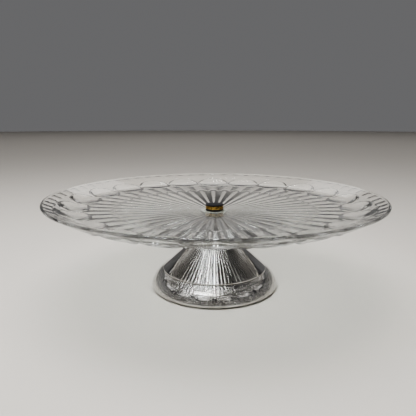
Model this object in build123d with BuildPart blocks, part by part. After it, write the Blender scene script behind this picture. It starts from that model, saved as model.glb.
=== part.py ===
"""Pedestal cake stand: a pressed glass plate held on a hollow chrome foot by a screwed brass cap.

Millimetres, +Z up. The origin is on the axis of the stand, on the surface it stands on.
Every piece is turned about Z, so most sections are drawn on Plane.XZ, where X is the radius.
"""

from build123d import *
from math import asin, atan2, cos, degrees, radians, sin, sqrt, tan
import os

os.makedirs("parts", exist_ok=True)

# ---------------------------------------------------------------- driving dimensions
RUNNING = 0.05  # radial clearance of one turned piece running in another
FACE_GAP = 0.02  # gap between two faces that slide over each other

# glass plate
PLATE_R = 149.9
RIM_Z = 87.2
RIM_NOSE = 1.1  # radius of the rounded rim
PLATE_UNDER_Z = 67.0  # flat underside round the centre hole
PLATE_THICK = 5.1
PLATE_FLAT_R = 14.0  # flat area round the hole, above and below
WELL_R = 127.0  # where the floor of the plate turns up into the rim
WELL_RISE = 6.4  # how much higher the floor is there than at the centre
WELL_BEND_R = 25.0
UNDER_BEND_R = 3.0
FLAT_BEND_R = 40.0
PLATE_HOLE_R = 4.5

# chrome foot
SHEET = 1.2
FOOT_R = 59.0
FOOT_LIP_R = 53.6  # inner edge of the lip turned in under the foot
FOOT_LIP_Z = 0.7
BEAD_FOOT = (FOOT_R, 2.9)
BEAD_CROWN = (55.5, 10.7)
BEAD_TOP = (48.4, 17.0)
STEP_HEIGHT = 1.2  # the sharp step between the bead and the cone
STEP_EDGE = 0.6
CONE_ANGLE = 41.2
CONE_TOP_R = 19.0
NECK_SWEEP_R = 23.0
FOOT_TOP_Z = 64.3
FOOT_TOP_EDGE = 2.2

# threaded stud and the pieces on it
STUD_R = 2.5
STUD_LOW_Z = 53.5
STUD_HIGH_Z = 76.0
STUD_COLLAR_R = 6.0
STUD_COLLAR_HIGH = 1.0
SEAT_R = 12.5
SEAT_HIGH = 1.2
GASKET_R = 12.0
CLAMP_WASHER_R = 8.0
CLAMP_WASHER_HIGH = 1.6
LOCK_WASHER_R = 4.6
LOCK_WASHER_HIGH = 1.2
LOCK_WASHER_SPLIT = 1.0
NUT_FLATS = 8.0
NUT_HIGH = 4.0

# cap
CAP_R = 8.3
CAP_WASHER_HIGH = 1.3
COLLAR_HIGH = 3.2
BUTTON_HIGH = 1.1
BUTTON_SPIGOT_R = 5.6
BUTTON_SPIGOT_HIGH = 0.5

# edging ring under the foot
EDGING_OUTER_R = 56.6
EDGING_INNER_R = 51.4
EDGING_HIGH = 3.2

PLATE_TOP_Z = PLATE_UNDER_Z + PLATE_THICK
SEAT_Z = FOOT_TOP_Z
GASKET_Z = SEAT_Z + SEAT_HIGH
FOOT_ROOF_Z = FOOT_TOP_Z - SHEET
WASHER_Z = FOOT_ROOF_Z - CLAMP_WASHER_HIGH
LOCK_Z = WASHER_Z - LOCK_WASHER_HIGH
NUT_Z = LOCK_Z - NUT_HIGH
COLLAR_Z = PLATE_TOP_Z + CAP_WASHER_HIGH
BUTTON_Z = COLLAR_Z + COLLAR_HIGH


def ring(inner, outer, low, high, edge=0.0):
    """A flat turned ring, with its outer edges rounded."""
    with BuildPart() as turned:
        with BuildSketch(Plane.XY.offset(low)):
            Circle(outer)
            Circle(inner, mode=Mode.SUBTRACT)
        extrude(amount=high - low)
        if edge:
            outside = turned.edges().filter_by(GeomType.CIRCLE).group_by(SortBy.RADIUS)[-1]
            fillet(outside, edge)
    return turned.part


def round_corner(section, place, radius):
    """Round the corner of a section that is nearest to a place."""
    fillet(section.vertices().sort_by_distance(place)[0], radius)


# ---------------------------------------------------------------- glass plate
# A shallow dish: flat centre, a floor that rises gently, and a rim turned up to a rounded edge.
floor_under = (WELL_R + 1, PLATE_UNDER_Z + WELL_RISE)
floor_over = (WELL_R - 1, PLATE_TOP_Z + WELL_RISE)
nose_centre = (PLATE_R - RIM_NOSE, RIM_Z - RIM_NOSE)


def tangent_angle(point, side):
    """Direction from a point to the rim's round edge, along the tangent on one side of it."""
    across, up = nose_centre[0] - point[0], nose_centre[1] - point[1]
    return degrees(atan2(up, across)) + side * degrees(asin(RIM_NOSE / sqrt(across**2 + up**2)))


wall_angle = tangent_angle(floor_under, -1)
inside_angle = tangent_angle(floor_over, +1)

with BuildPart() as glass_plate:
    with BuildSketch(Plane.XZ) as plate_section:
        with BuildLine():
            rim = CenterArc(nose_centre, RIM_NOSE, wall_angle - 90, 180 + inside_angle - wall_angle)
            Polyline(
                rim @ 1,
                floor_over,
                (PLATE_FLAT_R, PLATE_TOP_Z),
                (PLATE_HOLE_R, PLATE_TOP_Z),
                (PLATE_HOLE_R, PLATE_UNDER_Z),
                (PLATE_FLAT_R, PLATE_UNDER_Z),
                floor_under,
                rim @ 0,
            )
        make_face()
        round_corner(plate_section, floor_over, WELL_BEND_R)
        round_corner(plate_section, floor_under, UNDER_BEND_R)
        round_corner(plate_section, (PLATE_FLAT_R, PLATE_TOP_Z), FLAT_BEND_R)
        round_corner(plate_section, (PLATE_FLAT_R, PLATE_UNDER_Z), FLAT_BEND_R)
    revolve(axis=Axis.Z)
glass_plate.part.label = "glass_plate"
export_step(glass_plate.part, "parts/glass_plate.step")

# A plastic bush pressed into the hole keeps the glass off the steel stud.
with BuildPart() as centre_sleeve:
    add(ring(STUD_R + RUNNING, PLATE_HOLE_R, PLATE_UNDER_Z + FACE_GAP, PLATE_TOP_Z - FACE_GAP))
centre_sleeve.part.label = "centre_sleeve"
export_step(centre_sleeve.part, "parts/centre_sleeve.step")

# ---------------------------------------------------------------- chrome foot
# Spun from one sheet: lip turned in, fat bead, sharp step, cone, and a neck swept up to a flat top.
cone_low = (BEAD_TOP[0], BEAD_TOP[1] + STEP_HEIGHT)
cone_high = (CONE_TOP_R, cone_low[1] + (cone_low[0] - CONE_TOP_R) * tan(radians(CONE_ANGLE)))
neck_turn = 90 - CONE_ANGLE
neck_high = (
    CONE_TOP_R - NECK_SWEEP_R * (1 - cos(radians(neck_turn))),
    cone_high[1] + NECK_SWEEP_R * sin(radians(neck_turn)),
)
top_corner = (neck_high[0], FOOT_TOP_Z)

with BuildPart() as foot_shell:
    with BuildSketch(Plane.XZ) as sheet_section:
        with BuildLine() as outside:
            lip = Line((FOOT_LIP_R, FOOT_LIP_Z), (FOOT_R - 1.9, FOOT_LIP_Z))
            turn = TangentArc(lip @ 1, BEAD_FOOT, tangent=lip % 1)
            bead = ThreePointArc(turn @ 1, BEAD_CROWN, BEAD_TOP)
            step = Line(bead @ 1, cone_low)
            cone = Line(step @ 1, cone_high)
            neck = TangentArc(cone @ 1, neck_high, tangent=cone % 1)
            Line(neck @ 1, top_corner)
            Line(top_corner, (STUD_R + RUNNING, FOOT_TOP_Z))
            offset(outside.line, amount=SHEET, side=Side.LEFT, closed=True)
        make_face()
        round_corner(sheet_section, top_corner, FOOT_TOP_EDGE)
        round_corner(sheet_section, (top_corner[0] - SHEET, FOOT_ROOF_Z), FOOT_TOP_EDGE - SHEET)
        round_corner(sheet_section, cone_low, STEP_EDGE)
    revolve(axis=Axis.Z)
foot_shell.part.label = "foot_shell"
export_step(foot_shell.part, "parts/foot_shell.step")

# A soft channel ring grips the lip and is what touches the table.
with BuildPart() as edging_ring:
    add(ring(EDGING_INNER_R, EDGING_OUTER_R, 0, EDGING_HIGH))
    with BuildSketch(Plane.XY.offset(FOOT_LIP_Z)):
        Circle(EDGING_OUTER_R + 1)
        Circle(FOOT_LIP_R, mode=Mode.SUBTRACT)
    extrude(amount=SHEET, mode=Mode.SUBTRACT)
edging_ring.part.label = "edging_ring"
export_step(edging_ring.part, "parts/edging_ring.step")

# ---------------------------------------------------------------- support under the glass
with BuildPart() as plate_seat:
    add(ring(STUD_R + RUNNING, SEAT_R, SEAT_Z, SEAT_Z + SEAT_HIGH, edge=0.4))
plate_seat.part.label = "plate_seat"
export_step(plate_seat.part, "parts/plate_seat.step")

with BuildPart() as plate_gasket:
    add(ring(STUD_COLLAR_R, GASKET_R, GASKET_Z, PLATE_UNDER_Z, edge=0.5))
plate_gasket.part.label = "plate_gasket"
export_step(plate_gasket.part, "parts/plate_gasket.step")

# ---------------------------------------------------------------- stud and its nut, inside the foot
# The stud's collar bears down on the seat, and the nut pulls it tight from inside the neck.
with BuildPart() as centre_stud:
    with BuildSketch(Plane.XY.offset(STUD_LOW_Z)):
        Circle(STUD_R)
    extrude(amount=STUD_HIGH_Z - STUD_LOW_Z)
    ends = centre_stud.edges().filter_by(GeomType.CIRCLE)
    chamfer(ends, 0.4)
    with BuildSketch(Plane.XY.offset(GASKET_Z)):
        Circle(STUD_COLLAR_R)
    extrude(amount=STUD_COLLAR_HIGH)
centre_stud.part.label = "centre_stud"
export_step(centre_stud.part, "parts/centre_stud.step")

with BuildPart() as clamp_washer:
    add(ring(STUD_R + RUNNING, CLAMP_WASHER_R, WASHER_Z, FOOT_ROOF_Z, edge=0.3))
clamp_washer.part.label = "clamp_washer"
export_step(clamp_washer.part, "parts/clamp_washer.step")

with BuildPart() as lock_washer:
    add(ring(STUD_R + RUNNING, LOCK_WASHER_R, LOCK_Z, WASHER_Z))
    with BuildSketch(Plane.XY.offset(LOCK_Z)):
        with Locations((LOCK_WASHER_R, 0)):
            Rectangle(2 * LOCK_WASHER_R, LOCK_WASHER_SPLIT)
    extrude(amount=LOCK_WASHER_HIGH, mode=Mode.SUBTRACT)
lock_washer.part.label = "lock_washer"
export_step(lock_washer.part, "parts/lock_washer.step")

with BuildPart() as hex_nut:
    with BuildSketch(Plane.XY.offset(NUT_Z)):
        RegularPolygon(NUT_FLATS / 2, 6, major_radius=False)
        Circle(STUD_R, mode=Mode.SUBTRACT)
    extrude(amount=NUT_HIGH)
hex_nut.part.label = "hex_nut"
export_step(hex_nut.part, "parts/hex_nut.step")

# ---------------------------------------------------------------- cap
with BuildPart() as cap_washer:
    add(ring(STUD_R + RUNNING, CAP_R - 0.1, PLATE_TOP_Z, COLLAR_Z - FACE_GAP, edge=0.3))
cap_washer.part.label = "cap_washer"
export_step(cap_washer.part, "parts/cap_washer.step")

# The brass collar is the nut: a blind thread below, a shallow recess for the button above.
with BuildPart() as brass_collar:
    with BuildSketch(Plane.XY.offset(COLLAR_Z)):
        Circle(CAP_R)
    extrude(amount=COLLAR_HIGH)
    with BuildSketch(Plane.XY.offset(COLLAR_Z)):
        Circle(STUD_R + RUNNING)
    extrude(amount=COLLAR_HIGH, mode=Mode.SUBTRACT)
    with BuildSketch(Plane.XY.offset(BUTTON_Z - BUTTON_SPIGOT_HIGH)):
        Circle(BUTTON_SPIGOT_R)
    extrude(amount=BUTTON_SPIGOT_HIGH, mode=Mode.SUBTRACT)
brass_collar.part.label = "brass_collar"
export_step(brass_collar.part, "parts/brass_collar.step")

with BuildPart() as cap_button:
    with BuildSketch(Plane.XY.offset(BUTTON_Z)):
        Circle(CAP_R)
    extrude(amount=BUTTON_HIGH)
    fillet(cap_button.edges().group_by(Axis.Z)[-1], 0.6)
    with BuildSketch(Plane.XY.offset(BUTTON_Z - BUTTON_SPIGOT_HIGH)):
        Circle(BUTTON_SPIGOT_R)
    extrude(amount=BUTTON_SPIGOT_HIGH)
cap_button.part.label = "cap_button"
export_step(cap_button.part, "parts/cap_button.step")
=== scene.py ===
"""Looks for the pedestal cake stand: pressed glass plate, chrome foot, brass and black cap."""

import math

import bmesh
import bpy
import numpy as np
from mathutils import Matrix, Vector


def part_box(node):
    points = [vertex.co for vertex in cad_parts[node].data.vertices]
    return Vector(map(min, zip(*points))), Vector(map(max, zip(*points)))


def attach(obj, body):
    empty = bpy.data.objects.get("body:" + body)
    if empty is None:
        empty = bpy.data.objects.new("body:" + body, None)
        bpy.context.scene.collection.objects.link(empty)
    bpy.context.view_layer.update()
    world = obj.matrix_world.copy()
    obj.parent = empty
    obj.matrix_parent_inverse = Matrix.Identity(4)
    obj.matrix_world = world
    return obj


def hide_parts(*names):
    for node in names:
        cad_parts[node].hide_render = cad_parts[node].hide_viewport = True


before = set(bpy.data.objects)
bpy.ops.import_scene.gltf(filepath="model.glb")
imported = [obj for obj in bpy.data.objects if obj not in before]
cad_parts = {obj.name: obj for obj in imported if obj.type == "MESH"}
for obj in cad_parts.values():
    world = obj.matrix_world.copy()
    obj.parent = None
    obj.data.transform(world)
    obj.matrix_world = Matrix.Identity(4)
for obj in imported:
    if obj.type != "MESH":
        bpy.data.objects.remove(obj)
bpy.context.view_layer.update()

MM = 0.001

# ---------------------------------------------------------------- glass plate, in mm
PLATE_R = 149.9
RIM_Z = 87.2
RIM_NOSE = 1.1
UNDER_Z = 67.0
THICK = 5.1
FLAT_R = 14.0
WELL_R = 127.0
WELL_RISE = 6.4
HOLE_R = 4.5

LENSES = 22
SAMPLES_PER_LENS = 36
LENS_R = 125.5
LENS_HALF_LONG = 16.6
LENS_HALF_HIGH = 13.0
LENS_GROOVE = 2.7
LENS_GROOVE_HALF = 2.2
LENS_BULGE = 1.9
CORNER_RELIEF = 0.7  # share of its depth that the groove loses at the corner of the dish
CORNER_RELIEF_HALF = 3.0
FLUTES = 2 * LENSES
FLUTE_START_R = 12.3
FLUTE_START_SOFT = 1.5
STAR_R = 93.0
STAR_POINT = 9.0
STAR_DEPTH = 2.2
STAR_GROWTH_R = 40.0  # the flutes grow deeper outwards over about this radius
STAR_END_SOFT = 1.4
REED_DEPTH = 0.9
REED_START_SOFT = 1.6
REED_FADE = (119.0, 127.0)
DIAMOND_R = 107.5
DIAMOND_DEPTH = 1.4
DIAMOND_HALF_WIDE = 4.2
DIAMOND_HALF_LONG = 6.5
RIM_FLUTES = 3 * LENSES
RIM_RING_R = 140.6
RIM_DEPTH = 0.55
RIM_RING_SOFT = 0.8
RIM_FADE = (146.6, 148.4)


def smooth_max(a, b, reach):
    """The larger of two heights, with the corner between them rounded."""
    near = np.maximum(reach - np.abs(a - b), 0) / reach
    return np.maximum(a, b) + near * near * reach / 4


def ramp(value, low, high):
    """0 below low, 1 above high, and a smooth step between."""
    t = np.clip((value - low) / (high - low), 0, 1)
    return t * t * (3 - 2 * t)


def tangent_slope(start, side):
    """Slope of the line from start that touches one side of the round rim."""
    across = PLATE_R - RIM_NOSE - start[0]
    up = RIM_Z - RIM_NOSE - start[1]
    return math.tan(math.atan2(up, across) + side * math.asin(RIM_NOSE / math.hypot(across, up)))


# where the floor of the dish meets its wall, and how far that corner is rounded
UNDER_CORNER = (WELL_R + 1, UNDER_Z + WELL_RISE - 0.5)
UNDER_CORNER_ROUND = 3.4
OVER_CORNER = (WELL_R - 1, UNDER_Z + THICK + WELL_RISE)
OVER_CORNER_ROUND = 1.2
WALL_SLOPE = tangent_slope(UNDER_CORNER, -1)
INSIDE_SLOPE = tangent_slope(OVER_CORNER, +1)


def dish_height(r, corner, flat_z, slope, reach):
    """Flat centre, gently rising floor, then the rim's slope."""
    floor = flat_z + np.maximum(r - FLAT_R, 0) * (corner[1] - flat_z) / (corner[0] - FLAT_R)
    return smooth_max(floor, corner[1] + (r - corner[0]) * slope, reach)


def under_height(r):
    return dish_height(r, UNDER_CORNER, UNDER_Z, WALL_SLOPE, UNDER_CORNER_ROUND)


def over_height(r):
    return dish_height(r, OVER_CORNER, UNDER_Z + THICK, INSIDE_SLOPE, OVER_CORNER_ROUND)


def phase(angle, count, shift=0.0):
    """Where an angle lies in its share of count equal ones, from -1 to 1 with 0 at the middle."""
    share = angle * count / (2 * np.pi) + shift
    return 2 * (share - np.floor(share)) - 1


def pattern_depth(r, angle):
    """How deep the pressed pattern goes into the underside, in mm."""
    around = angle - np.pi / 2
    lens_u = phase(around, LENSES, 0.5)
    flute_u = np.abs(phase(around, FLUTES, 0.5))
    pitch = 2 * np.pi / LENSES
    # star of long flutes, whose outer ends make a zigzag
    star_end = STAR_R - STAR_POINT * flute_u**1.6
    star = STAR_DEPTH * (1 - np.exp(-r / STAR_GROWTH_R)) * (1 - flute_u**3)
    star = star * ramp(r, FLUTE_START_R, FLUTE_START_R + FLUTE_START_SOFT)
    star = star * (1 - ramp(r, star_end - STAR_END_SOFT, star_end))
    # shallow reeds from the star out to the ovals
    reed = REED_DEPTH * (1 - flute_u**2) * ramp(r, star_end, star_end + REED_START_SOFT)
    reed = reed * (1 - ramp(r, *REED_FADE))
    # ring of ovals
    across = lens_u / 2 * pitch * LENS_R / LENS_HALF_LONG
    along = (r - LENS_R) / LENS_HALF_HIGH
    reach = np.sqrt(across**2 + along**2)
    # each bulges a little, inside a sharp groove that is shallow where the floor turns up
    from_corner = (r - WELL_R - 0.5) / CORNER_RELIEF_HALF
    shallow = 1 - CORNER_RELIEF * np.exp(-(from_corner**2))
    beyond = (reach - 1) * LENS_HALF_LONG
    groove = LENS_GROOVE * shallow * np.maximum(1 - np.abs(beyond) / LENS_GROOVE_HALF, 0)
    bulge = LENS_BULGE * np.minimum(reach, 1) ** 3 * (0.6 + 0.4 * shallow)
    # a small diamond in each gap between two ovals, on the inner side
    gap = np.abs(phase(around, LENSES, 0.0) / 2 * pitch * DIAMOND_R)
    inside_diamond = 1 - gap / DIAMOND_HALF_WIDE - np.abs(r - DIAMOND_R) / DIAMOND_HALF_LONG
    diamond = DIAMOND_DEPTH * np.maximum(inside_diamond, 0)
    # short flutes along the rim, from a crisp ring
    rim_u = phase(around, RIM_FLUTES, 0.5)
    rim = RIM_DEPTH * (1 - rim_u**2) * ramp(r, RIM_RING_R, RIM_RING_R + RIM_RING_SOFT)
    rim = rim * (1 - ramp(r, *RIM_FADE))
    beside = np.maximum(np.maximum(star, reed), np.maximum(diamond, rim))
    return np.maximum(np.where(reach < 1, bulge, beside), groove)


def build_mesh(name, verts, faces, sharp_deg):
    mesh = bpy.data.meshes.new(name)
    mesh.from_pydata(verts, [], faces)
    mesh.validate()
    mesh.shade_smooth()
    mesh.set_sharp_from_angle(angle=math.radians(sharp_deg))
    piece = bpy.data.objects.new(name, mesh)
    bpy.context.scene.collection.objects.link(piece)
    return piece


def swept_faces(stations, turns, closed):
    """Quads between the rings of a surface turned about Z, its stations in order along the section."""
    rows = np.arange(stations if closed else stations - 1)
    here = rows[:, None] * turns + np.arange(turns)[None, :]
    beside = rows[:, None] * turns + (np.arange(turns)[None, :] + 1) % turns
    up = ((rows + 1) % stations)[:, None] * turns
    above = up + np.arange(turns)[None, :]
    above_beside = up + (np.arange(turns)[None, :] + 1) % turns
    return np.stack([here, beside, above_beside, above], -1).reshape(-1, 4).tolist()


def glass_plate():
    """The dish with its pattern, with stations close together where the pattern has edges."""
    turns = LENSES * SAMPLES_PER_LENS
    angle = np.arange(turns) * 2 * np.pi / turns
    under_r = np.concatenate([
        [HOLE_R, 8.0, FLUTE_START_R],
        np.arange(FLUTE_START_R + 0.5, 16, 0.7),
        np.arange(16, 82, 4.0),
        np.arange(82, 96, 0.8),
        np.arange(96, 101, 2.0),
        np.arange(101, 148.9, 0.75),
    ])
    wall_angle = math.atan(WALL_SLOPE)
    inside_angle = math.atan(INSIDE_SLOPE)
    nose = np.linspace(wall_angle - math.pi / 2, inside_angle + math.pi / 2, 12)
    nose_r = PLATE_R - RIM_NOSE + RIM_NOSE * np.cos(nose)
    nose_z = RIM_Z - RIM_NOSE + RIM_NOSE * np.sin(nose)
    over_r = np.concatenate([np.arange(147, 112, -2.0), np.arange(110, FLAT_R, -8.0), [FLAT_R, 8.0, HOLE_R]])
    r = np.concatenate([under_r, nose_r, over_r])
    base = np.concatenate([under_height(under_r), nose_z, over_height(over_r)])
    z = np.repeat(base[:, None], turns, 1)
    rr, aa = np.meshgrid(under_r, angle, indexing="ij")
    z[: len(under_r)] += pattern_depth(rr, aa)
    verts = np.stack([r[:, None] * np.cos(angle), r[:, None] * np.sin(angle), z], -1)
    faces = swept_faces(len(r), turns, closed=True)
    piece = build_mesh("pressed_plate", verts.reshape(-1, 3) * MM, faces, sharp_deg=24)
    return stand_in(piece, "glass_plate", "plate")


# ---------------------------------------------------------------- turned pieces
def arc(centre, radius, start_deg, end_deg, steps):
    turn = np.radians(np.linspace(start_deg, end_deg, steps))
    return np.stack([centre[0] + radius * np.cos(turn), centre[1] + radius * np.sin(turn)], -1)


def circle_through(a, b, c):
    """Centre and radius of the circle through three points."""
    a, b, c = (np.array(p, float) for p in (a, b, c))
    m = 2 * np.array([b - a, c - a])
    centre = np.linalg.solve(m, [b @ b - a @ a, c @ c - a @ a])
    return centre, float(np.hypot(*(a - centre)))


def weld(piece):
    """Join the points that lie on each other, such as the ones on the axis."""
    work = bmesh.new()
    work.from_mesh(piece.data)
    bmesh.ops.remove_doubles(work, verts=work.verts, dist=1e-7)
    work.to_mesh(piece.data)
    work.free()


def lathe(name, section, turns=128, sharp_deg=30, closed=True):
    """A section turned about Z, closed in itself or open from axis to axis."""
    section = np.asarray(section, float)
    angle = np.arange(turns) * 2 * np.pi / turns
    x = section[:, :1] * np.cos(angle)
    y = section[:, :1] * np.sin(angle)
    z = np.repeat(section[:, 1:], turns, 1)
    verts = np.stack([x, y, z], -1).reshape(-1, 3) * MM
    piece = build_mesh(name, verts, swept_faces(len(section), turns, closed), sharp_deg)
    if not closed:
        weld(piece)
    return piece


def stand_in(piece, node, body):
    """Put a finer mesh in place of a plain CAD node."""
    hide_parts(node)
    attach(piece, body)
    return piece


SHEET = 1.2
LIP = (53.6, 0.7)
TURN_START_R = 57.1
BEAD_FOOT = (59.0, 2.9)
BEAD_CROWN = (55.5, 10.7)
BEAD_TOP = (48.4, 17.0)
STEP_HEIGHT = 1.2
STEP_EDGE = 0.5
STEP_EDGE_INSIDE = 0.15
STEP_GROOVE = 0.6  # the seam line under the edge of the cone
STEP_GROOVE_UP = (0.05, 0.45, 0.75)
CONE_ANGLE = 41.2
CONE_TOP_R = 19.0
NECK_SWEEP_R = 23.0
FOOT_TOP_Z = 64.3
FOOT_TOP_EDGE = 2.2
STUD_HOLE_R = 2.55


def foot_side(inset):
    """One side of the foot's sheet, from the lip up to the hole, moved in by inset."""
    turn_out, turn_up = BEAD_FOOT[0] - TURN_START_R, BEAD_FOOT[1] - LIP[1]
    turn_r = (turn_out**2 + turn_up**2) / (2 * turn_up)
    turn_centre = (TURN_START_R, LIP[1] + turn_r)
    turn_end = math.degrees(math.atan2(BEAD_FOOT[1] - turn_centre[1], BEAD_FOOT[0] - turn_centre[0]))
    bead_centre, bead_r = circle_through(BEAD_FOOT, BEAD_CROWN, BEAD_TOP)
    bead_angles = [
        math.degrees(math.atan2(p[1] - bead_centre[1], p[0] - bead_centre[0])) for p in (BEAD_FOOT, BEAD_TOP)
    ]
    lean = math.radians(90 - CONE_ANGLE)
    step_r = BEAD_TOP[0] - inset
    cone_low_z = BEAD_TOP[1] + STEP_HEIGHT - inset * math.tan(lean / 2)
    edge = STEP_EDGE if inset == 0 else STEP_EDGE_INSIDE
    cut = edge * math.tan(lean / 2)
    cone_dir = np.array([-math.cos(math.radians(CONE_ANGLE)), math.sin(math.radians(CONE_ANGLE))])
    cone_rise = (BEAD_TOP[0] - CONE_TOP_R) * math.tan(math.radians(CONE_ANGLE))
    cone_high = np.array([CONE_TOP_R, BEAD_TOP[1] + STEP_HEIGHT + cone_rise])
    neck_centre = cone_high + NECK_SWEEP_R * np.array([cone_dir[1], -cone_dir[0]])
    neck_r = neck_centre[0] - NECK_SWEEP_R - inset
    top_z = FOOT_TOP_Z - inset
    top_edge = FOOT_TOP_EDGE - inset
    cone_end = cone_high - inset * np.array([cone_dir[1], -cone_dir[0]])
    cone_start = np.array([step_r, cone_low_z]) + cut * cone_dir
    groove_r = BEAD_TOP[0] - STEP_GROOVE
    groove_z = [BEAD_TOP[1] + up for up in STEP_GROOVE_UP]
    groove = list(zip((groove_r, groove_r, BEAD_TOP[0]), groove_z))
    return np.concatenate([
        [(LIP[0], LIP[1] + inset)],
        arc(turn_centre, turn_r - inset, -90, turn_end, 10),
        arc(bead_centre, bead_r - inset, *bead_angles, 34)[1:],
        [(step_r, BEAD_TOP[1])] if inset else groove,
        arc((step_r - edge, cone_low_z - cut), edge, 0, 90 - CONE_ANGLE, 6),
        np.linspace(cone_start, cone_end, 24)[1:-1],
        arc(neck_centre, NECK_SWEEP_R + inset, 270 - CONE_ANGLE, 180, 22),
        arc((neck_r - top_edge, top_z - top_edge), top_edge, 0, 90, 8),
        [(STUD_HOLE_R, top_z)],
    ])


def chrome_foot():
    section = np.concatenate([foot_side(0.0), foot_side(SHEET)[::-1]])
    piece = lathe("spun_foot", section, turns=256)
    return stand_in(piece, "foot_shell", "foot")


# ---------------------------------------------------------------- cap, stud, nut and edging, in mm
SPIGOT_R = 5.6  # of the button, and of the recess for it in the collar
SPIGOT_DEEP = 0.5
COLLAR_BORE_R = 2.55
COLLAR_EDGE = 0.35
COLLAR_BARREL = 0.12  # how much narrower the collar is at its ends than in the middle
COLLAR_ENDS = 0.4  # height of both broken edges together
BUTTON_EDGE = 0.5
BUTTON_DOME = 0.1
BUTTON_UNDER_EDGE = 0.15
EDGING_INNER_R = 51.4
STUD_COLLAR = (65.5, 66.5)
STUD_COLLAR_EDGE = 0.2
STUD_END_CHAMFER = 0.45
THREAD_CREST_R = 2.5
THREAD_PITCH = 0.8
THREAD_DEPTH = 0.42
THREAD_STEP = 0.1
NUT_BORE_R = 2.5
NUT_FACE_R = 3.85  # of the round face that the chamfer leaves
NUT_HALF_FLATS = 4.0
NUT_CHAMFER_DEG = 30


def node_span(node):
    """Outer radius, lowest and highest point of a round node."""
    low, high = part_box(node)
    return high[1] / MM, low[2] / MM, high[2] / MM


def brass_cap():
    """Barrel-shaped collar with broken edges, bored for the stud and sunk for the button."""
    outer, low, high = node_span("brass_collar")
    middle, half = (low + high) / 2, (high - low - COLLAR_ENDS) / 2
    barrel = [(outer - COLLAR_BARREL * x * x, middle + x * half) for x in np.linspace(-1, 1, 9)]
    section = [(COLLAR_BORE_R, low), (outer - COLLAR_EDGE, low), *barrel, (outer - COLLAR_EDGE, high)]
    section += [(SPIGOT_R, high), (SPIGOT_R, high - SPIGOT_DEEP), (COLLAR_BORE_R, high - SPIGOT_DEEP)]
    return stand_in(lathe("turned_collar", section), "brass_collar", "cap")


def black_button():
    """Moulded disc, slightly domed, with a spigot that sits in the collar."""
    outer, low, high = node_span("cap_button")
    rim_z, edge_centre = low + SPIGOT_DEEP, (outer - BUTTON_EDGE, high - BUTTON_DOME - BUTTON_EDGE)
    dome = [(r, high - BUTTON_DOME * (r / outer) ** 2) for r in (6.0, 4.0, 2.0, 0.0)]
    section = [(0, low), (SPIGOT_R, low), (SPIGOT_R, rim_z)]
    section += [(outer - BUTTON_UNDER_EDGE, rim_z), (outer, rim_z + BUTTON_UNDER_EDGE)]
    section += [tuple(p) for p in arc(edge_centre, BUTTON_EDGE, 0, 86, 8)] + dome
    return stand_in(lathe("moulded_button", section, closed=False), "cap_button", "cap")


def edging():
    """Soft channel ring with rounded lips, gripping the lip of the foot."""
    outer, low, high = node_span("edging_ring")
    inner = EDGING_INNER_R
    lip_low, lip_high = LIP[1], LIP[1] + SHEET
    section = [(inner + 0.7, low), (outer - 0.5, low), (outer, low + 0.35)]
    section += [(outer, lip_low), (LIP[0], lip_low)]
    section += [(LIP[0], lip_high), (outer, lip_high), (outer, high - 0.5), (outer - 0.5, high)]
    section += [(inner + 0.9, high), (inner + 0.25, high - 0.25), (inner, high - 0.9), (inner, low + 0.7)]
    section += [(inner + 0.2, low + 0.2)]
    return stand_in(lathe("channel_edging", section, turns=192), "edging_ring", "foot")


def threaded_stud():
    """M5 stud: a helical thread above and below its collar, and chamfered ends."""
    collar_r, low, high = node_span("centre_stud")
    collar_low, collar_high = STUD_COLLAR
    turns, edge = 32, STUD_COLLAR_EDGE
    lower = np.arange(low, collar_low, THREAD_STEP)
    upper = np.arange(collar_high + THREAD_STEP, high, THREAD_STEP)
    collar = [(collar_r - edge, collar_low), (collar_r, collar_low + edge)]
    collar += [(collar_r, collar_high - edge), (collar_r - edge, collar_high)]
    collar_z = [p[1] for p in collar]
    level = np.concatenate([[low], lower, [collar_low], collar_z, [collar_high], upper, [high, high]])
    start = 1 + len(lower) + 1
    turn = np.arange(turns) * 2 * np.pi / turns
    z, angle = np.meshgrid(level, turn, indexing="ij")
    wave = 2 * np.abs((z / THREAD_PITCH - angle / (2 * np.pi)) % 1 - 0.5)
    from_end = np.minimum(z - low, high - z)
    radius = np.minimum(THREAD_CREST_R - THREAD_DEPTH * wave, THREAD_CREST_R - STUD_END_CHAMFER + from_end)
    radius[start : start + 4] = np.array([p[0] for p in collar])[:, None]
    radius[[0, -1]] = 0
    verts = np.stack([radius * np.cos(angle), radius * np.sin(angle), z], -1).reshape(-1, 3) * MM
    faces = swept_faces(len(level), turns, closed=False)
    piece = build_mesh("threaded_stud", verts, faces, sharp_deg=35)
    weld(piece)
    return stand_in(piece, "centre_stud", "foot")


def chamfered_nut():
    """Hex nut whose six corners are cut back by a cone, above and below."""
    _, low, high = node_span("hex_nut")
    bore, face_r, turns = NUT_BORE_R, NUT_FACE_R, 96
    angle = np.arange(turns) * 2 * np.pi / turns
    hexagon = NUT_HALF_FLATS / np.cos((angle % (np.pi / 3)) - np.pi / 6)  # corners on X
    chamfer = (hexagon - face_r) * math.tan(math.radians(NUT_CHAMFER_DEG))
    whole = np.ones(turns)
    radius = np.stack([bore * whole, face_r * whole, hexagon, hexagon, face_r * whole, bore * whole])
    z = np.stack([low * whole, low * whole, low + chamfer, high - chamfer, high * whole, high * whole])
    verts = np.stack([radius * np.cos(angle), radius * np.sin(angle), z], -1).reshape(-1, 3) * MM
    faces = swept_faces(len(radius), turns, closed=True)
    piece = build_mesh("chamfered_nut", verts, faces, sharp_deg=20)
    return stand_in(piece, "hex_nut", "foot")


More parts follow.
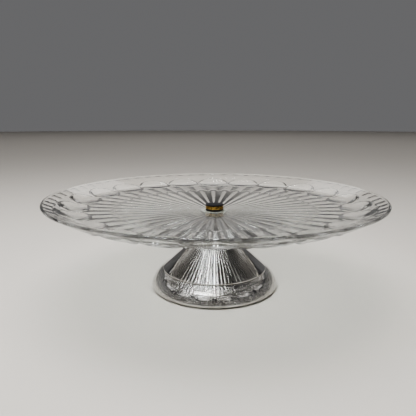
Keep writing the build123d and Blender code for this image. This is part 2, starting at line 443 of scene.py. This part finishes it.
# ---------------------------------------------------------------- materials
class Nodes:
    """A short way to add and join shader nodes."""

    def __init__(self, name):
        self.material = bpy.data.materials.new(name)
        self.material.use_nodes = True
        self.tree = self.material.node_tree
        self.tree.nodes.clear()
        self.out = self.add("ShaderNodeOutputMaterial")

    def add(self, kind, **values):
        node = self.tree.nodes.new(kind)
        for key, value in values.items():
            if key in node.inputs.keys():
                node.inputs[key].default_value = value
            else:
                setattr(node, key, value)
        return node

    def join(self, source, target):
        self.tree.links.new(source, target)

    def principled(self, **values):
        node = self.add("ShaderNodeBsdfPrincipled")
        for key, value in values.items():
            node.inputs[key.replace("_", " ")].default_value = value
        return node

    def noise(self, scale, detail=3.0, rough=0.5):
        where = self.add("ShaderNodeTexCoord")
        node = self.add("ShaderNodeTexNoise")
        node.inputs["Scale"].default_value = scale
        node.inputs["Detail"].default_value = detail
        node.inputs["Roughness"].default_value = rough
        self.join(where.outputs["Object"], node.inputs["Vector"])
        return node.outputs["Fac"]

    def spread(self, source, low, high, out_low, out_high):
        node = self.add("ShaderNodeMapRange")
        node.inputs["From Min"].default_value = low
        node.inputs["From Max"].default_value = high
        node.inputs["To Min"].default_value = out_low
        node.inputs["To Max"].default_value = out_high
        self.join(source, node.inputs["Value"])
        return node.outputs["Result"]

    def bump(self, source, strength, distance, normal=None):
        node = self.add("ShaderNodeBump")
        node.inputs["Strength"].default_value = strength
        node.inputs["Distance"].default_value = distance
        self.join(source, node.inputs["Height"])
        if normal is not None:
            self.join(normal, node.inputs["Normal"])
        return node.outputs["Normal"]


def glass_material():
    m = Nodes("pressed_glass")
    glass = m.principled(Base_Color=(0.975, 0.975, 0.962, 1), Transmission_Weight=1.0, IOR=1.5)
    smudge = m.noise(38, 4)
    m.join(m.spread(smudge, 0.45, 0.75, 0.0, 0.06), glass.inputs["Roughness"])
    m.join(m.bump(m.noise(110, 2), 0.12, 0.0006), glass.inputs["Normal"])
    clear = m.add("ShaderNodeBsdfTransparent")
    clear.inputs["Color"].default_value = (0.9, 0.92, 0.91, 1)
    path = m.add("ShaderNodeLightPath")
    mix = m.add("ShaderNodeMixShader")
    m.join(path.outputs["Is Shadow Ray"], mix.inputs[0])
    m.join(glass.outputs[0], mix.inputs[1])
    m.join(clear.outputs[0], mix.inputs[2])
    m.join(mix.outputs[0], m.out.inputs["Surface"])
    return m.material


BEAD_BAND = (0.013, 0.019)  # the wear on the bead fades out between these heights, in m
CONE_WEAR = 0.03  # share of it left on the cone


def chrome_material():
    m = Nodes("worn_chrome")
    chrome = m.principled(Metallic=1.0)
    tone = m.add("ShaderNodeMix", data_type="RGBA")
    tone.inputs["A"].default_value = (0.74, 0.73, 0.71, 1)
    tone.inputs["B"].default_value = (0.50, 0.48, 0.45, 1)
    m.join(m.spread(m.noise(60, 6, 0.65), 0.42, 0.7, 0, 1), tone.inputs["Factor"])
    m.join(tone.outputs["Result"], chrome.inputs["Base Color"])
    m.join(m.spread(m.noise(170, 6, 0.7), 0.35, 0.72, 0.03, 0.11), chrome.inputs["Roughness"])
    # the bead has lost its shine in a speckle of small pits
    where = m.add("ShaderNodeTexCoord")
    height = m.add("ShaderNodeSeparateXYZ")
    m.join(where.outputs["Object"], height.inputs[0])
    worn = m.spread(height.outputs["Z"], *BEAD_BAND, 1.0, CONE_WEAR)
    pits = m.add("ShaderNodeMath", operation="MULTIPLY")
    m.join(m.spread(m.noise(800, 2), 0.48, 0.6, 0, 1), pits.inputs[0])
    m.join(worn, pits.inputs[1])
    m.join(m.bump(pits.outputs[0], 0.6, 0.00017), chrome.inputs["Normal"])
    m.join(chrome.outputs[0], m.out.inputs["Surface"])
    return m.material


def brass_material():
    m = Nodes("aged_brass")
    brass = m.principled(Metallic=1.0)
    tone = m.add("ShaderNodeMix", data_type="RGBA")
    tone.inputs["A"].default_value = (0.62, 0.42, 0.15, 1)
    tone.inputs["B"].default_value = (0.25, 0.14, 0.045, 1)
    m.join(m.spread(m.noise(420, 5, 0.6), 0.4, 0.7, 0, 1), tone.inputs["Factor"])
    m.join(tone.outputs["Result"], brass.inputs["Base Color"])
    m.join(m.spread(m.noise(900, 3), 0.3, 0.7, 0.16, 0.34), brass.inputs["Roughness"])
    m.join(brass.outputs[0], m.out.inputs["Surface"])
    return m.material


def black_material():
    m = Nodes("black_enamel")
    black = m.principled(Base_Color=(0.012, 0.012, 0.014, 1), Specular_IOR_Level=0.35)
    m.join(m.spread(m.noise(700, 4), 0.4, 0.75, 0.06, 0.2), black.inputs["Roughness"])
    m.join(black.outputs[0], m.out.inputs["Surface"])
    return m.material


def rubber_material():
    m = Nodes("black_rubber")
    rubber = m.principled(Base_Color=(0.018, 0.018, 0.017, 1))
    m.join(m.spread(m.noise(300, 4), 0.3, 0.7, 0.5, 0.75), rubber.inputs["Roughness"])
    m.join(m.bump(m.noise(1500, 3), 0.3, 0.0001), rubber.inputs["Normal"])
    m.join(rubber.outputs[0], m.out.inputs["Surface"])
    return m.material


def steel_material():
    m = Nodes("zinc_steel")
    steel = m.principled(Metallic=1.0)
    tone = m.add("ShaderNodeMix", data_type="RGBA")
    tone.inputs["A"].default_value = (0.60, 0.60, 0.58, 1)
    tone.inputs["B"].default_value = (0.38, 0.36, 0.33, 1)
    m.join(m.spread(m.noise(320, 5), 0.4, 0.7, 0, 1), tone.inputs["Factor"])
    m.join(tone.outputs["Result"], steel.inputs["Base Color"])
    m.join(m.spread(m.noise(800, 4), 0.3, 0.7, 0.25, 0.45), steel.inputs["Roughness"])
    m.join(steel.outputs[0], m.out.inputs["Surface"])
    return m.material


def nylon_material():
    m = Nodes("milky_plastic")
    nylon = m.principled(Base_Color=(0.78, 0.77, 0.72, 1), Transmission_Weight=0.35, IOR=1.45)
    m.join(m.spread(m.noise(500, 3), 0.3, 0.7, 0.3, 0.5), nylon.inputs["Roughness"])
    m.join(nylon.outputs[0], m.out.inputs["Surface"])
    return m.material


def floor_material():
    m = Nodes("pale_floor")
    floor = m.principled(Base_Color=(0.52, 0.49, 0.45, 1), Roughness=0.7)
    m.join(floor.outputs[0], m.out.inputs["Surface"])
    return m.material


def dress(piece, material):
    piece.data.materials.clear()
    piece.data.materials.append(material)


# ---------------------------------------------------------------- the stand
steel = steel_material()
rubber = rubber_material()
nylon = nylon_material()
chrome = chrome_material()
dress(glass_plate(), glass_material())
dress(chrome_foot(), chrome)
dress(brass_cap(), brass_material())
dress(black_button(), black_material())
dress(edging(), rubber)
dress(threaded_stud(), steel)
dress(chamfered_nut(), steel)
for node, material in {
    "centre_sleeve": nylon,
    "plate_gasket": nylon,
    "plate_seat": chrome,
    "cap_washer": rubber,
    "clamp_washer": steel,
    "lock_washer": steel,
}.items():
    dress(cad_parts[node], material)


# ---------------------------------------------------------------- stage, light and camera
WALL_TONE = (0.15, 0.15, 0.153)
TOP_TONE = (0.03, 0.03, 0.033)
FRONT_SHARE = (0.8, 0.79, 0.78)
PANELS = 9
PANEL_POWER = 0.8
PANEL_BAND = (0.42, 0.45, 0.62, 0.65)  # Z of the panels' soft lower and upper edges
FLOOR_R = 6
CAMERA_LENS = 36.09
CAMERA_PLACE = (-0.006, -0.3783, 0.1535)
CAMERA_DOWN_DEG = 11.91
STRIPS_X = (-0.24, -0.1, 0.0)  # of the narrow lights whose streaks show on the cone
STRIPS_Y, STRIPS_Z = -0.18, 0.6
BOUNCES = 16


def make_floor():
    bpy.ops.mesh.primitive_circle_add(vertices=96, radius=FLOOR_R, fill_type="NGON", location=(0, 0, 0))
    floor = bpy.context.object
    floor.name = "floor"
    dress(floor, floor_material())


def soft_light(name, place, target, size, power, tint=(1, 1, 1)):
    lamp = bpy.data.lights.new(name, "AREA")
    lamp.shape = "RECTANGLE"
    lamp.size, lamp.size_y = size
    lamp.energy = power
    lamp.color = tint
    holder = bpy.data.objects.new(name, lamp)
    bpy.context.scene.collection.objects.link(holder)
    holder.location = place
    aim = np.array(target, float) - np.array(place, float)
    holder.rotation_euler = Vector(aim).to_track_quat("-Z", "Y").to_euler()
    return holder


def studio_world():
    """A plain room: grey wall, a ring of bright panels above it, dark overhead, a little dimmer in front."""
    bpy.context.scene.view_settings.look = "AgX - High Contrast"
    world = bpy.data.worlds.new("studio")
    bpy.context.scene.world = world
    world.use_nodes = True
    tree = world.node_tree
    tree.nodes.clear()
    out = tree.nodes.new("ShaderNodeOutputWorld")
    sky = tree.nodes.new("ShaderNodeBackground")
    where = tree.nodes.new("ShaderNodeTexCoord")
    split = tree.nodes.new("ShaderNodeSeparateXYZ")
    tree.links.new(where.outputs["Generated"], split.inputs[0])

    def stops(source, low, high, places):
        scale = tree.nodes.new("ShaderNodeMapRange")
        scale.inputs["From Min"].default_value = low
        scale.inputs["From Max"].default_value = high
        tree.links.new(source, scale.inputs["Value"])
        node = tree.nodes.new("ShaderNodeValToRGB")
        tree.links.new(scale.outputs["Result"], node.inputs[0])
        ramp_stops = node.color_ramp.elements
        while len(ramp_stops) < len(places):
            ramp_stops.new(0.5)
        for stop, (place, tone) in zip(ramp_stops, places):
            stop.position = place
            stop.color = (*tone, 1)
        return node.outputs[0]

    def calc(kind, first, second):
        node = tree.nodes.new("ShaderNodeMath")
        node.operation = kind
        for socket, value in zip(node.inputs, (first, second)):
            if isinstance(value, (int, float)):
                socket.default_value = value
            else:
                tree.links.new(value, socket)
        return node.outputs[0]

    base = stops(split.outputs["Z"], 0, 1, [(0.0, WALL_TONE), (0.3, WALL_TONE), (0.42, TOP_TONE)])
    facing = stops(split.outputs["Y"], -1, 1, [(0.2, FRONT_SHARE), (0.55, (1, 1, 1))])
    turn = calc("ARCTAN2", split.outputs["Y"], split.outputs["X"])
    share = calc("PINGPONG", calc("ADD", calc("MULTIPLY", turn, PANELS / (2 * math.pi)), 0.25 + PANELS), 0.5)
    beside = stops(share, 0, 0.5, [(0.42, (0, 0, 0)), (0.5, (1, 1, 1))])
    dark, lit = (0, 0, 0), (1, 1, 1)
    band = stops(split.outputs["Z"], 0, 1, list(zip(PANEL_BAND, (dark, lit, lit, dark))))
    panel = calc("MULTIPLY", calc("MULTIPLY", beside, band), PANEL_POWER)
    mix = tree.nodes.new("ShaderNodeMix")
    mix.data_type = "RGBA"
    mix.blend_type = "ADD"
    mix.inputs["Factor"].default_value = 1
    tree.links.new(base, mix.inputs["A"])
    tree.links.new(panel, mix.inputs["B"])
    shade = tree.nodes.new("ShaderNodeMix")
    shade.data_type = "RGBA"
    shade.blend_type = "MULTIPLY"
    shade.inputs["Factor"].default_value = 1
    tree.links.new(mix.outputs["Result"], shade.inputs["A"])
    tree.links.new(facing, shade.inputs["B"])
    tree.links.new(shade.outputs["Result"], sky.inputs["Color"])
    tree.links.new(sky.outputs[0], out.inputs[0])


def photo_camera():
    """Camera low in front of the stand, looking a little down on the plate."""
    camera = bpy.data.cameras.new("camera")
    camera.sensor_width = 36
    camera.lens = CAMERA_LENS
    holder = bpy.data.objects.new("camera", camera)
    bpy.context.scene.collection.objects.link(holder)
    holder.location = CAMERA_PLACE
    holder.rotation_euler = (math.radians(90 - CAMERA_DOWN_DEG), 0, 0)
    bpy.context.scene.camera = holder


make_floor()
studio_world()
# wide lights that brighten the floor but leave no glare on chrome or glass
for wide in (
    soft_light("overhead", (-0.1, 0.0, 0.9), (-0.05, 0.02, 0), size=(0.7, 0.7), power=7.0),
    soft_light("ceiling", (0, 1.5, 3), (0, 1.5, 0), size=(5, 5), power=50.0),
):
    wide.visible_glossy = False
    wide.visible_transmission = False
soft_light("window", (-0.35, -0.8, 1.2), (0, 0, 0.05), size=(1.0, 0.3), power=5.0, tint=(0.96, 0.98, 1.0))
for x in STRIPS_X:
    place, below = (x, STRIPS_Y, STRIPS_Z), (x, STRIPS_Y, 0)
    soft_light("ceiling_strip", place, below, size=(0.014, 0.5), power=0.4, tint=(0.93, 0.97, 1.0))
photo_camera()
bpy.context.scene.cycles.max_bounces = BOUNCES
bpy.context.scene.cycles.transmission_bounces = BOUNCES
bpy.context.scene.cycles.glossy_bounces = 8
